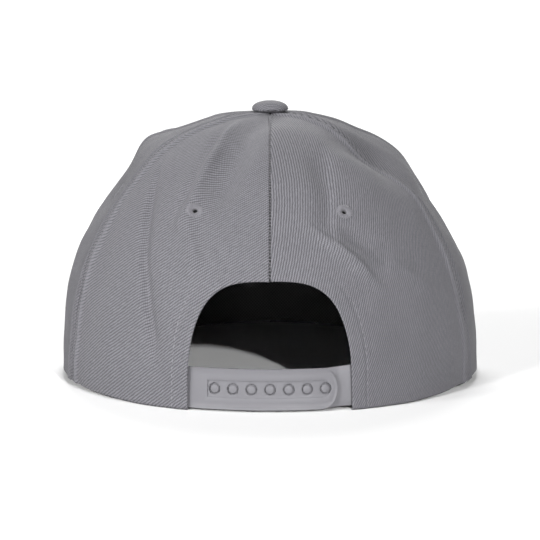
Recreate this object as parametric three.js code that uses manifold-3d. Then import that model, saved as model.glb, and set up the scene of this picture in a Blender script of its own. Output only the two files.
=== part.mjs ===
// A six-panel snapback cap, standing on its rim and the side edges of its flat brim.
// Millimetres, +Z up. The back with its plastic snap strap faces -Y and the brim points to +Y.
// The origin is on the floor, under the middle of the cap's bounding box.
import * as THREE from "three";
import { mergeVertices } from "three/addons/utils/BufferGeometryUtils.js";
import Module from "manifold-3d";

const wasm = await Module();
wasm.setup();

// Crown
const crownHalfWidth = 94;
const crownHalfLength = 99;
const crownHeight = 117.5;
const apexShift = 4; // how far the top of the crown lies in front of the rim's centre
const sideLift = 3; // how far the rim rises above the floor at the sides
const flatRimAngle = 30; // the back rim lies flat on the floor up to this azimuth
const cloth = 1.6; // wall of a sewn panel
const fitGap = 0.3; // clearance between pieces that touch
const apexHoleRadius = 3; // where the panel tips leave room for the button's shank

// Seams between the panels, as azimuths from the back centre in degrees
const sideSeam = 67;
const frontSeam = 117;

// Arched opening above the strap
const archHalfWidth = 33.6;
const archHeight = 54;
const archPower = 3.1;

// Brim
const brimReach = 70; // beyond the front of the crown
const brimHalfWidth = 94;
const brimThickness = 3.6;
const brimArch = 6; // how far the middle of the brim rises above its side edges
const brimFlat = 85; // beyond this distance from its middle the brim lies flat on the floor
const brimCorner = 76; // azimuth of the brim's ends, from the front centre
const brimPower = 2.5;
const brimEdge = 0.55; // share of the thickness left at the rounded edge

// Snap strap
const strapHeight = 17.2;
const strapThickness = 1.2;
const strapLift = 1; // above the floor
const strapTuck = 12; // length of each strap hidden behind its panel
const snapCount = 7;
const snapPitch = 8;
const snapHoleRadius = 2.35;
const pegRadius = 1.6;
const strapEndMargin = 5.6; // from the last snap to the strap's round end
const strapEndRadius = 7;
const recessHeight = 7.2;
const recessDepth = 0.35;
const recessMargin = 3; // from the first snap to the recess's square end

// Inner pieces
const bandHeight = 32;
const bandLift = 1.2;
const bandThickness = 1.2;
const bandStart = 24; // azimuth where the sweatband begins beside the arch
const backingThickness = 1;
const backingMargin = 2.5; // from the front panels' edges to the backing's, in degrees
const backingFoot = 0.02; // share of the way up the panel

// Button and eyelets
const buttonRadius = 8.2;
const buttonHeight = 5.2;
const shankRadius = 2.4;
const shankLength = 4;
const eyeletRadius = 3.6;
const eyeletHoleRadius = 1;
const eyeletBarrel = 0.6; // wall of the stitched barrel in the panel's hole
const eyeletRise = 0.7;
const eyeletFoot = 0.5; // the ring's clearance over the cloth, which curves under it
const eyeletHeight = 0.47; // share of the way up the panel

// How the crown's outline changes round the head: a superellipse from the rim to the apex.
const sections = [
  { azimuth: 0, radial: 2.15, upright: 2.05 },
  { azimuth: 35, radial: 2.2, upright: 2.1 },
  { azimuth: 67, radial: 2.3, upright: 2.15 },
  { azimuth: 92, radial: 2.45, upright: 2.4 },
  { azimuth: 117, radial: 2.55, upright: 2.75 },
  { azimuth: 150, radial: 2.5, upright: 2.65 },
  { azimuth: 180, radial: 2.5, upright: 2.65 },
];

// Round dents of the soft cloth. Widths and depth are shares of the crown's half width, and a minus depth is a bulge.
const dents = [
  { azimuth: 68, up: 0.66, wide: 0.21, tall: 0.21, depth: 0.1 },
  { azimuth: 92, up: 0.42, wide: 0.28, tall: 0.23, depth: 0.075 },
  { azimuth: -90, up: 0.47, wide: 0.27, tall: 0.2, depth: 0.065 },
  { azimuth: -120, up: 0.61, wide: 0.28, tall: 0.13, depth: -0.04 },
  { azimuth: 24, up: 0.62, wide: 0.085, tall: 0.26, depth: 0.02 },
  { azimuth: -21, up: 0.66, wide: 0.1, tall: 0.24, depth: 0.024 },
  { azimuth: 34, up: 0.2, wide: 0.3, tall: 0.2, depth: 0.012 },
];

// Creases of the soft cloth, from one place to another. Width and depth are shares of the crown's half width,
// and a minus depth is a ridge.
const folds = [
  { from: -48, fromUp: 0.53, to: -41, toUp: 0.35, wide: 0.045, depth: 0.014 },
  { from: -41, fromUp: 0.36, to: -31, toUp: 0.13, wide: 0.045, depth: 0.014 },
  { from: -29, fromUp: 0.72, to: -33, toUp: 0.5, wide: 0.05, depth: -0.014 },
  { from: -33, fromUp: 0.47, to: -19, toUp: 0.29, wide: 0.05, depth: -0.011 },
  { from: 17, fromUp: 0.42, to: 31, toUp: 0.29, wide: 0.05, depth: -0.014 },
  { from: 36, fromUp: 0.33, to: 46, toUp: 0.28, wide: 0.08, depth: -0.01 },
];

const backFace = crownHalfLength - cloth - fitGap; // how far behind the rim's centre the strap's face lies
const frontColumns = 10; // cells across a front panel
const frontRows = 14; // cells up a front panel
const originShift = (crownHalfLength + brimReach - backFace) / 2;
const archFoot = THREE.MathUtils.radToDeg(Math.asin(archHalfWidth / crownHalfWidth));
const surfaceLength = (crownHalfWidth + crownHeight) * 0.71; // rough length of a panel from the rim to the apex

const radians = THREE.MathUtils.degToRad;
const { lerp, clamp, smoothstep } = THREE.MathUtils;
const wrapAngle = (degrees) => THREE.MathUtils.euclideanModulo(degrees + 180, 360) - 180;

// Superellipse powers at an azimuth, eased from row to row.
function powersAt(azimuth) {
  const turn = Math.abs(wrapAngle(azimuth));
  const next = sections.findIndex((row, i) => i > 0 && turn <= row.azimuth);
  const [low, high] = [sections[next - 1], sections[next]];
  const share = smoothstep(turn, low.azimuth, high.azimuth);
  return {
    radial: lerp(low.radial, high.radial, share),
    upright: lerp(low.upright, high.upright, share),
  };
}

// Underside of the brim above the floor: arched across, and lifted with the rim beside the crown.
function brimUnderside(x, y) {
  const arch = brimArch * Math.max(0, 1 - (x / brimFlat) ** 2);
  const liftEnd = crownHalfLength * 0.9;
  return arch + sideLift * (1 - smoothstep(y, liftEnd / 9, liftEnd));
}

// Height of the crown's rim above the floor.
function rimHeight(azimuth) {
  const turn = Math.abs(wrapAngle(azimuth));
  if (turn < 90) return sideLift * smoothstep(turn, flatRimAngle, 90);
  const x = crownHalfWidth * Math.sin(radians(turn));
  const y = -crownHalfLength * Math.cos(radians(turn));
  return brimUnderside(x, y);
}

// How deep the cloth is pressed in at a place on the crown.
function pressedIn(azimuth, up) {
  const girth = crownHalfWidth * Math.cos((up * Math.PI) / 2) ** 0.8;
  let depth = 0;
  for (const dent of dents) {
    const across = radians(wrapAngle(azimuth - dent.azimuth)) * girth;
    const along = (up - dent.up) * surfaceLength;
    const wide = dent.wide * crownHalfWidth;
    const tall = dent.tall * crownHalfWidth;
    depth += dent.depth * crownHalfWidth * Math.exp(-((across / wide) ** 2) - (along / tall) ** 2);
  }
  for (const fold of folds) {
    const foldGirth = crownHalfWidth * Math.cos(((fold.fromUp + fold.toUp) * Math.PI) / 4) ** 0.8;
    const start = new THREE.Vector2(radians(fold.from) * foldGirth, fold.fromUp * surfaceLength);
    const end = new THREE.Vector2(radians(fold.to) * foldGirth, fold.toUp * surfaceLength);
    const here = new THREE.Vector2(radians(wrapAngle(azimuth)) * foldGirth, up * surfaceLength);
    const line = end.clone().sub(start);
    const share = clamp(here.clone().sub(start).dot(line) / line.lengthSq(), 0, 1);
    const away = here.distanceTo(start.clone().addScaledVector(line, share));
    const fade = Math.min(1, 4 * share * (1 - share) + 0.25);
    const wide = fold.wide * crownHalfWidth;
    depth += fold.depth * crownHalfWidth * fade * Math.exp(-((away / wide) ** 2));
  }
  return depth;
}

// A point on the outside of the crown. up is 0 at the rim and 1 at the apex.
function crownSurface(azimuth, up) {
  const { radial, upright } = powersAt(azimuth);
  const turn = radians(azimuth);
  const rise = (clamp(up, 0, 1) * Math.PI) / 2;
  const inward = Math.cos(rise) ** (2 / radial);
  const upward = Math.sin(rise) ** (2 / upright);
  const foot = rimHeight(azimuth);
  const point = new THREE.Vector3(
    crownHalfWidth * inward * Math.sin(turn),
    -crownHalfLength * inward * Math.cos(turn) + apexShift * upward,
    lerp(foot, crownHeight, upward),
  );
  const heart = new THREE.Vector3(0, apexShift, crownHeight / 4);
  const outward = point.clone().sub(heart).normalize();
  return point.addScaledVector(outward, -pressedIn(azimuth, up));
}

// The same point, taken depth inwards through the cloth. At the rim it goes in level.
function crownPoint(azimuth, up, depth = 0) {
  const step = 0.004;
  const point = crownSurface(azimuth, up);
  const aside = crownSurface(azimuth + 1, up).sub(crownSurface(azimuth - 1, up));
  const above = crownSurface(azimuth, Math.min(up + step, 1)).sub(
    crownSurface(azimuth, Math.max(up - step, 0)),
  );
  const normal = aside.cross(above);
  normal.z *= smoothstep(up, 0, 0.06);
  return point.addScaledVector(normal.normalize(), -depth);
}

// The share up the crown of a height above its rim, and of a distance from its axis.
function upAtHeight(azimuth, height) {
  const share = height / (crownHeight - rimHeight(azimuth));
  return (Math.asin(share ** (powersAt(azimuth).upright / 2)) * 2) / Math.PI;
}
function upAtRadius(azimuth, radius) {
  const share = radius / crownHalfWidth;
  return (Math.acos(share ** (powersAt(azimuth).radial / 2)) * 2) / Math.PI;
}

// Half the seam gap as an angle, which grows towards the apex.
function seamAngle(azimuth, up) {
  const girth = crownHalfWidth * Math.cos((up * Math.PI) / 2) ** (2 / powersAt(azimuth).radial);
  return THREE.MathUtils.radToDeg(fitGap / 2 / girth);
}

// A box of cols by rows by one cells, each corner moved by place(u, v, w). w is 0 inside and 1 outside.
function wrappedBox(cols, rows, place) {
  const box = new THREE.BoxGeometry(1, 1, 1, cols, rows, 1);
  const corners = box.getAttribute("position");
  for (let i = 0; i < corners.count; i++) {
    const p = place(corners.getX(i) + 0.5, corners.getY(i) + 0.5, corners.getZ(i) + 0.5);
    corners.setXYZ(i, p.x, p.y, p.z);
  }
  return closed(box);
}

// A geometry with only its places left, shared between its faces.
function closed(geometry) {
  const bare = geometry.clone();
  bare.deleteAttribute("normal");
  bare.deleteAttribute("uv");
  return mergeVertices(bare, 1e-4);
}

function solidOf(geometry) {
  const bare = closed(geometry);
  return new wasm.Manifold(
    new wasm.Mesh({
      numProp: 3,
      vertProperties: new Float32Array(bare.getAttribute("position").array),
      triVerts: new Uint32Array(bare.index.array),
    }),
  );
}

function geometryOf(solid) {
  const mesh = solid.getMesh();
  const geometry = new THREE.BufferGeometry();
  geometry.setAttribute("position", new THREE.BufferAttribute(mesh.vertProperties, 3));
  geometry.setIndex(new THREE.BufferAttribute(mesh.triVerts, 1));
  geometry.computeVertexNormals();
  return geometry;
}

// A geometry modelled round +Z, set down at a place on the crown so that +Z points straight out of the cloth.
function onCrown(geometry, azimuth, up) {
  const base = crownPoint(azimuth, up);
  const outward = base.clone().sub(crownPoint(azimuth, up, 1));
  const turn = new THREE.Quaternion().setFromUnitVectors(new THREE.Vector3(0, 0, 1), outward.normalize());
  return geometry.clone().applyQuaternion(turn).translate(base.x, base.y, base.z);
}

// A round bar along +Z from low to high.
function bar(radius, low, high, sides) {
  return new THREE.CylinderGeometry(radius, radius, high - low, sides)
    .rotateX(Math.PI / 2)
    .translate(0, 0, (low + high) / 2);
}

// Panels
const eyelets = [
  { name: "eyelet_back_right", panel: "panel_back_right", azimuth: 26.5 },
  { name: "eyelet_back_left", panel: "panel_back_left", azimuth: -26.5 },
  { name: "eyelet_side_right", panel: "panel_side_right", azimuth: (sideSeam + frontSeam) / 2 },
  { name: "eyelet_side_left", panel: "panel_side_left", azimuth: -(sideSeam + frontSeam) / 2 },
  { name: "eyelet_front_right", panel: "panel_front_right", azimuth: (frontSeam + 180) / 2 },
  { name: "eyelet_front_left", panel: "panel_front_left", azimuth: -(frontSeam + 180) / 2 },
];

function pierced(geometry, places, radius, depth) {
  let solid = solidOf(geometry);
  for (const eyelet of places) {
    const drill = bar(radius, -depth, depth, 12);
    solid = solid.subtract(solidOf(onCrown(drill, eyelet.azimuth, eyeletHeight)));
  }
  return geometryOf(solid);
}

// A side or front panel between two seams.
function plainPanel(start, end, cols, rows) {
  return wrappedBox(cols, rows, (u, v, w) => {
    const middle = lerp(start, end, u);
    const up = v * upAtRadius(middle, apexHoleRadius);
    const gap = seamAngle(middle, up);
    return crownPoint(lerp(start + gap, end - gap, u), up, cloth * (1 - w));
  });
}

// The arch's edge in the crown: share 0 at its foot on the rim and 1 at its top.
function archEdge(share) {
  const turn = (share * Math.PI) / 2;
  const x = archHalfWidth * Math.cos(turn) ** (2 / archPower);
  const height = archHeight * Math.sin(turn) ** (2 / archPower);
  const up = upAtHeight(archFoot * (1 - share), height);
  const girth = crownHalfWidth * Math.cos((up * Math.PI) / 2) ** (2 / powersAt(0).radial);
  return { azimuth: THREE.MathUtils.radToDeg(Math.asin(x / girth)), up };
}

// A back panel is a four-sided patch between the arch, the rim, the side seam and the centre seam.
// It is worked out on the crown laid flat round its apex.
function backPanel(side, cols, rows) {
  const flat = ({ azimuth, up }) =>
    new THREE.Vector2(0, 1 - up).rotateAround(new THREE.Vector2(), radians(azimuth));
  const tip = (azimuth) => upAtRadius(azimuth, apexHoleRadius);
  const arch = (v) => {
    const edge = archEdge(v);
    const gap = seamAngle(0, edge.up);
    return flat({ azimuth: Math.max(edge.azimuth, gap), up: edge.up });
  };
  const seam = (v) => {
    const up = v * tip(sideSeam);
    return flat({ azimuth: sideSeam - seamAngle(sideSeam, up), up });
  };
  const rim = (u) => flat({ azimuth: lerp(archFoot, sideSeam - seamAngle(sideSeam, 0), u), up: 0 });
  const swing = 0.94; // where the centre seam ends and the panel's tip turns round the apex
  const centre = (u) => {
    const up = lerp(archEdge(1).up, tip(0), Math.min(1, u / swing));
    const turn = smoothstep(u, swing, 1);
    const last = sideSeam - seamAngle(sideSeam, tip(sideSeam));
    return flat({
      azimuth: lerp(seamAngle(0, up), last, turn),
      up: lerp(up, tip(sideSeam), turn),
    });
  };
  const corner = { foot: arch(0), top: arch(1), rim: seam(0), tip: seam(1) };
  return wrappedBox(cols, rows, (a, v, w) => {
    const u = side > 0 ? a : 1 - a;
    const place = new THREE.Vector2()
      .addScaledVector(arch(v), 1 - u)
      .addScaledVector(seam(v), u)
      .addScaledVector(rim(u), 1 - v)
      .addScaledVector(centre(u), v)
      .addScaledVector(corner.foot, -(1 - u) * (1 - v))
      .addScaledVector(corner.rim, -u * (1 - v))
      .addScaledVector(corner.top, -(1 - u) * v)
      .addScaledVector(corner.tip, -u * v);
    const azimuth = THREE.MathUtils.radToDeg(Math.atan2(-place.x, place.y));
    return crownPoint(side * azimuth, 1 - place.length(), cloth * (1 - w));
  });
}

function panel(name, geometry) {
  const own = eyelets.filter((eyelet) => eyelet.panel === name);
  const drill = eyeletHoleRadius + eyeletBarrel + fitGap;
  return pierced(geometry, own, drill, 3 * cloth);
}

// An embroidered eyelet: a thread ring that follows the cloth, with a barrel through it.
function eyelet(place) {
  const barrelRadius = eyeletHoleRadius + eyeletBarrel;
  const foot = eyeletFoot;
  const profile = [
    [eyeletHoleRadius, -cloth],
    [barrelRadius, -cloth],
    [barrelRadius, foot],
    [eyeletRadius, foot],
    [eyeletRadius * 0.93, foot + eyeletRise * 0.6],
    [eyeletRadius * 0.65, foot + eyeletRise],
    [eyeletHoleRadius, foot + eyeletRise * 0.3],
    [eyeletHoleRadius, -cloth],
  ].map(([r, z]) => new THREE.Vector2(r, z));
  const ring = closed(new THREE.LatheGeometry(profile, 12).rotateX(Math.PI / 2));
  const corners = ring.getAttribute("position");
  const step = 0.01;
  const base = crownPoint(place.azimuth, eyeletHeight);
  const girth = crownPoint(place.azimuth + 1, eyeletHeight).distanceTo(base);
  const height = crownPoint(place.azimuth, eyeletHeight + step).distanceTo(base) / step;
  for (let i = 0; i < corners.count; i++) {
    const azimuth = place.azimuth + corners.getX(i) / girth;
    const up = eyeletHeight + corners.getY(i) / height;
    const p = crownPoint(azimuth, up, -corners.getZ(i));
    corners.setXYZ(i, p.x, p.y, p.z);
  }
  return ring;
}

// The covered button on the apex, with its shank down between the panel tips.
function button() {
  const foot = fitGap;
  const profile = [
    [0, -shankLength],
    [shankRadius, -shankLength],
    [shankRadius, foot],
    [buttonRadius * 0.86, foot],
    [buttonRadius * 0.97, foot + buttonHeight * 0.14],
    [buttonRadius, foot + buttonHeight * 0.32],
    [buttonRadius * 0.95, foot + buttonHeight * 0.53],
    [buttonRadius * 0.8, foot + buttonHeight * 0.75],
    [buttonRadius * 0.55, foot + buttonHeight * 0.92],
    [buttonRadius * 0.27, foot + buttonHeight * 0.99],
    [0, foot + buttonHeight],
  ].map(([r, z]) => new THREE.Vector2(r, z));
  return closed(
    new THREE.LatheGeometry(profile, 20).rotateX(Math.PI / 2).translate(0, apexShift, crownHeight),
  );
}

// The flat brim, from the crown's front out to its rounded edge.
function brim() {
  const cornerY = crownHalfLength * Math.cos(radians(brimCorner));
  return wrappedBox(28, 7, (u, v, w) => {
    const across = u * 2 - 1;
    const inner = radians(across * brimCorner);
    const outer = (across * Math.PI) / 2;
    const reach = crownHalfLength + brimReach - cornerY;
    const outline = new THREE.Vector2(
      brimHalfWidth * Math.sign(outer) * Math.abs(Math.sin(outer)) ** (2 / brimPower),
      cornerY + reach * Math.max(0, Math.cos(outer)) ** (2 / brimPower),
    );
    const junction = new THREE.Vector2(
      (crownHalfWidth + fitGap) * Math.sin(inner),
      (crownHalfLength + fitGap) * Math.cos(inner),
    );
    const place = junction.lerp(outline, v ** 0.8);
    const middle = brimUnderside(place.x, place.y) + brimThickness / 2;
    const share = v > 0.97 ? brimEdge : 1;
    return new THREE.Vector3(place.x, place.y, middle + brimThickness * share * (w - 0.5));
  });
}

// A strip inside the crown between two azimuths and two heights above the rim.
function innerStrip(start, end, low, high, cols, rows, outerDepth, thickness) {
  return wrappedBox(cols, rows, (u, v, w) => {
    const azimuth = lerp(start, end, u);
    const up = upAtHeight(azimuth, lerp(low, high, v));
    return crownPoint(azimuth, up, outerDepth(azimuth) + thickness * (1 - w));
  });
}

// Snap strap
const underCloth = cloth + fitGap;
const secondLayer = underCloth + strapThickness + fitGap;
const strapMiddle = strapLift + strapHeight / 2;
const azimuthAlong = (length) => THREE.MathUtils.radToDeg(length / crownHalfWidth);
const lastSnap = (snapPitch * (snapCount - 1)) / 2;
const strapEnd = lastSnap + strapEndMargin;
const strapRoot = Math.max(archHalfWidth, strapEnd) + strapTuck;
const strapColumns = 14; // cells along a strap

// A flat outline with a round end at length right, cut straight through the back of the crown.
function strapOutline(left, right, height, endRadius) {
  const half = height / 2;
  const shape = new THREE.Shape();
  shape.moveTo(left, -half);
  shape.lineTo(right - endRadius, -half);
  shape.absellipse(right - endRadius, 0, endRadius, half, -Math.PI / 2, Math.PI / 2, false);
  shape.lineTo(left, half);
  shape.closePath();
  const depth = crownHalfLength;
  return new THREE.ExtrudeGeometry(shape, { depth, bevelEnabled: false, curveSegments: 7 })
    .rotateX(Math.PI / 2)
    .translate(0, 0, strapMiddle);
}

function strapStrip(from, to, outerDepth, thickness, cols) {
  const [start, end] = [azimuthAlong(from), azimuthAlong(to)];
  const high = strapLift + strapHeight;
  return innerStrip(start, end, strapLift, high, cols, 1, outerDepth, thickness);
}

// A round bar through the strap at each snap, from one depth below the crown's face to another.
function atSnaps(radius, shallow, deep) {
  const bars = [];
  for (let i = 0; i < snapCount; i++) {
    const azimuth = azimuthAlong(i * snapPitch - lastSnap);
    const up = upAtHeight(azimuth, strapMiddle);
    bars.push(solidOf(onCrown(bar(radius, -deep, -shallow, 10), azimuth, up)));
  }
  return bars;
}

// The strap with the holes lies outside and ends round on the right.
function strapWithHoles() {
  const depth = () => underCloth;
  const outlineEnd = crownHalfWidth * Math.sin(radians(azimuthAlong(strapEnd)));
  const strip = solidOf(strapStrip(-strapRoot, strapEnd + strapEndMargin, depth, strapThickness, strapColumns));
  const outline = strapOutline(-strapRoot, outlineEnd, strapHeight, strapEndRadius);
  const skin = solidOf(
    strapStrip(-strapRoot, strapEnd + strapEndMargin, () => 0, underCloth + recessDepth, strapColumns),
  );
  const recessEnd = outlineEnd - recessMargin;
  const recess = strapOutline(-lastSnap - recessMargin, recessEnd, recessHeight, recessHeight / 2);
  let strap = strip.intersect(solidOf(outline)).subtract(skin.intersect(solidOf(recess)));
  for (const hole of atSnaps(snapHoleRadius, 0, secondLayer)) strap = strap.subtract(hole);
  return geometryOf(strap);
}

// The strap with the pegs lies inside, and steps out past the other's end to lie against its own panel.
function strapWithPegs() {
  const stepStart = azimuthAlong(strapEnd + 1);
  const stepEnd = azimuthAlong(strapEnd + 1 + 4 * strapThickness);
  const depth = (azimuth) => lerp(secondLayer, underCloth, smoothstep(azimuth, stepStart, stepEnd));
  const strip = solidOf(strapStrip(-strapEnd - strapEndMargin, strapRoot, depth, strapThickness, 2 * strapColumns));
  const farEnd = crownHalfWidth * Math.sin(radians(azimuthAlong(strapEnd)));
  const outline = strapOutline(-strapRoot, farEnd, strapHeight, strapEndRadius);
  outline.rotateZ(Math.PI).translate(0, -crownHalfLength, 0);
  let strap = strip.intersect(solidOf(outline));
  for (const peg of atSnaps(pegRadius, underCloth, secondLayer + strapThickness / 2)) strap = strap.add(peg);
  return geometryOf(strap);
}

// Sweatband and the stiff black backing of the front panels. The band steps in where it passes the strap ends
// and the backing.
const backingDepth = underCloth;
const backingStart = frontSeam + backingMargin;
const strapRootAngle = azimuthAlong(strapRoot);

function sweatband() {
  const passStrap = strapThickness + fitGap;
  const passBacking = backingThickness + fitGap;
  const easing = 8;
  const depth = (azimuth) => {
    const turn = Math.abs(wrapAngle(azimuth));
    const beside = passStrap * (1 - smoothstep(turn, strapRootAngle + 1, strapRootAngle + 1 + easing));
    const front = passBacking * smoothstep(turn, backingStart - 1 - easing, backingStart - 1);
    return underCloth + beside + front;
  };
  const high = bandLift + bandHeight;
  return innerStrip(bandStart, 360 - bandStart, bandLift, high, 44, 2, depth, bandThickness);
}

// Each corner of the backing lies behind a corner of the front panels' cells, so the two never touch.
function frontBacking() {
  const top = (frontRows - 1) / frontRows;
  const strip = wrappedBox(2 * frontColumns, frontRows - 1, (u, v, w) => {
    const azimuth = clamp(lerp(frontSeam, 360 - frontSeam, u), backingStart, 360 - backingStart);
    const up = Math.max(backingFoot, v * top * upAtRadius(azimuth, apexHoleRadius));
    return crownPoint(azimuth, up, backingDepth + backingThickness * (1 - w));
  });
  const front = eyelets.filter((place) => place.panel.includes("front"));
  return pierced(strip, front, eyeletHoleRadius, 3 * underCloth);
}

// Colours and the assembly
const cloth_grey = { color: 0x8c8b91, roughness: 0.92, metalness: 0 };
const thread_grey = { color: 0x97969c, roughness: 0.85, metalness: 0 };
const plastic_grey = { color: 0x9d9ca3, roughness: 0.42, metalness: 0 };
const lining_black = { color: 0x141414, roughness: 0.95, metalness: 0 };

const cap = new THREE.Group();
cap.position.set(0, -originShift, 0);

function add(name, geometry, finish) {
  const mesh = new THREE.Mesh(geometry, new THREE.MeshStandardMaterial(finish));
  mesh.name = name;
  cap.add(mesh);
}

const panels = {
  panel_back_right: backPanel(1, 15, 17),
  panel_back_left: backPanel(-1, 15, 17),
  panel_side_right: plainPanel(sideSeam, frontSeam, 10, 16),
  panel_side_left: plainPanel(-frontSeam, -sideSeam, 10, 16),
  panel_front_right: plainPanel(frontSeam, 180, frontColumns, frontRows),
  panel_front_left: plainPanel(-180, -frontSeam, frontColumns, frontRows),
};
for (const [name, geometry] of Object.entries(panels)) add(name, panel(name, geometry), cloth_grey);
for (const place of eyelets) add(place.name, eyelet(place), thread_grey);
add("top_button", button(), cloth_grey);
add("brim", brim(), cloth_grey);
add("strap_with_holes", strapWithHoles(), plastic_grey);
add("strap_with_pegs", strapWithPegs(), plastic_grey);
add("sweatband", sweatband(), lining_black);
add("front_backing", frontBacking(), lining_black);

export default cap;
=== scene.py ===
import math
from functools import partial

import bmesh
import bpy
import numpy as np
from mathutils import Matrix, Vector


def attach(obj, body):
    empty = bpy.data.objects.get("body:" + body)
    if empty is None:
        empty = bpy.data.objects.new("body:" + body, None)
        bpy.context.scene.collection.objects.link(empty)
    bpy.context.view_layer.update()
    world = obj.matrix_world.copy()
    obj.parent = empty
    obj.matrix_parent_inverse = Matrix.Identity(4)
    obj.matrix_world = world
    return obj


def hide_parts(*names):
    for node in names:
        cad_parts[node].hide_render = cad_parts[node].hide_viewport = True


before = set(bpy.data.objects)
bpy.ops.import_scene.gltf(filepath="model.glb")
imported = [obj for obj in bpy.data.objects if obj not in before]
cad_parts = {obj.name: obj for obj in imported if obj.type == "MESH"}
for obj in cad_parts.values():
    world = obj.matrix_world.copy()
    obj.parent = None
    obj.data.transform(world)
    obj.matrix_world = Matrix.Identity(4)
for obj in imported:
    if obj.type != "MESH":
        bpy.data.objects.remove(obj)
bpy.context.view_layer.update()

# Sizes in millimetres. A place on the crown is an azimuth in degrees from the back centre, growing to the
# right, and a share of the way up from the rim to the apex.
CROWN_HALF_WIDTH = 94
CROWN_HALF_LENGTH = 99
CROWN_HEIGHT = 117.5
APEX_SHIFT = 4
SIDE_LIFT = 3
FLAT_RIM_ANGLE = 30
CLOTH = 1.6
FIT_GAP = 0.3
TIP_RADIUS = 3
SIDE_SEAM = 67
FRONT_SEAM = 117
ARCH_HALF_WIDTH = 34.4
ARCH_HEIGHT = 53.3
ARCH_POWER = 3.1
BRIM_REACH = 70
BRIM_HALF_WIDTH = 94
BRIM_THICKNESS = 3.6
BRIM_ARCH = 6
BRIM_FLAT = 85
BRIM_CORNER = 76
BRIM_POWER = 2.5
STRAP_HEIGHT = 17.2
STRAP_THICKNESS = 1.2
STRAP_LIFT = 1
STRAP_TUCK = 12
SNAP_COUNT = 7
SNAP_PITCH = 8
SNAP_HOLE_RADIUS = 2.55
PEG_RADIUS = 1.85
STRAP_END_MARGIN = 5.6
STRAP_END_RADIUS = 7
RECESS_HEIGHT = 7.2
RECESS_DEPTH = 0.5
RECESS_MARGIN = 3
BAND_HEIGHT = 32
BAND_LIFT = 1.2
BAND_THICKNESS = 1.2
BAND_START = 24
BACKING_THICKNESS = 1
BACKING_MARGIN = 2.5
BUTTON_RADIUS = 8.2
BUTTON_HEIGHT = 5.2
EYELET_RADIUS = 3.6
EYELET_HOLE_RADIUS = 1
EYELET_HEIGHT = 0.47
BACK_EYELET = 26.5
SURFACE_LENGTH = (CROWN_HALF_WIDTH + CROWN_HEIGHT) * 0.71
BACK_FACE = CROWN_HALF_LENGTH - CLOTH - FIT_GAP
ORIGIN_SHIFT = (CROWN_HALF_LENGTH + BRIM_REACH - BACK_FACE) / 2

# Seams: gaps, how far a seam's stitching and folded edge and the hem's stitching lie from their edge, and how
# far from the apex the threads end
SEAM_GAP = 0.05
CENTRE_GAP = 0.5
TOPSTITCH = 2.4
WELT = 4.2
HEM = 6.6
SEAM_END_RADIUS = 9.5
EDGE_ROLL = 0.8
EYELET_STITCHES = 26

# How much faster per mm the right back panel's weave leans over, the higher up, and how much the left one's
# droops per mm away from its middle
RIGHT_PULL = 0.0021
LEFT_DROOP = 0.0024

# How even grid lines are crowded towards a panel's edges, where its relief is finest
ACROSS_CROWDING = 0.62
UPWARD_CROWDING = 0.6

# The sag of both shoulders
SLACK_AZIMUTH = 112
SLACK_UP = 0.74
SLACK_HALF_WIDTH = 34
SLACK_HALF_HEIGHT = 25
SLACK_DEPTH = 2.1

# azimuth, radial power, upright power
SECTIONS = np.array([
    (0, 2.15, 2.05),
    (35, 2.2, 2.1),
    (67, 2.3, 2.15),
    (92, 2.45, 2.4),
    (117, 2.55, 2.75),
    (150, 2.5, 2.65),
    (180, 2.5, 2.65),
])

# azimuth, up, half width, half height, depth. Lengths are shares of the crown's half width.
DENTS = [
    (68, 0.66, 0.21, 0.21, 0.1),
    (92, 0.42, 0.28, 0.23, 0.075),
    (-90, 0.47, 0.27, 0.2, 0.065),
    (-120, 0.61, 0.28, 0.13, -0.04),
    (24, 0.62, 0.085, 0.26, 0.02),
    (-21, 0.66, 0.1, 0.24, 0.024),
    (34, 0.2, 0.3, 0.2, 0.012),
]

# from azimuth and up, to azimuth and up, half width, depth. Lengths are shares of the crown's half width.
FOLDS = [
    (-48, 0.53, -41, 0.35, 0.045, 0.014),
    (-41, 0.36, -31, 0.13, 0.045, 0.014),
    (-29, 0.72, -33, 0.5, 0.05, -0.014),
    (-33, 0.47, -19, 0.29, 0.05, -0.011),
    (17, 0.42, 31, 0.29, 0.05, -0.014),
    (36, 0.33, 46, 0.28, 0.08, -0.01),
]


def ease(value, low, high):
    share = np.clip((value - low) / (high - low), 0, 1)
    return share * share * (3 - 2 * share)


def wrapped(azimuth):
    return (azimuth + 180) % 360 - 180


def section_powers(azimuth):
    turn = np.abs(wrapped(azimuth))
    after = np.clip(np.searchsorted(SECTIONS[:, 0], turn), 1, len(SECTIONS) - 1)
    low, high = SECTIONS[after - 1], SECTIONS[after]
    share = ease(turn, low[..., 0], high[..., 0])
    radial = low[..., 1] + (high[..., 1] - low[..., 1]) * share
    upright = low[..., 2] + (high[..., 2] - low[..., 2]) * share
    return radial, upright


def brim_underside(x, y):
    arch = BRIM_ARCH * np.maximum(0, 1 - (x / BRIM_FLAT) ** 2)
    lift_end = CROWN_HALF_LENGTH * 0.9
    return arch + SIDE_LIFT * (1 - ease(y, lift_end / 9, lift_end))


def rim_height(azimuth):
    turn = np.abs(wrapped(azimuth))
    around = np.radians(turn)
    behind = SIDE_LIFT * ease(turn, FLAT_RIM_ANGLE, 90)
    front = brim_underside(CROWN_HALF_WIDTH * np.sin(around), -CROWN_HALF_LENGTH * np.cos(around))
    return np.where(turn < 90, behind, front)


def half_width_at(up, power=0.8):
    """Roughly the crown's half width in mm at a share of the way up."""
    return CROWN_HALF_WIDTH * np.cos(up * np.pi / 2) ** power


def bulge(distance, spread):
    """A smooth bump that is one at no distance and all but gone at twice the spread."""
    return np.exp(-((distance / spread) ** 2))


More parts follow.
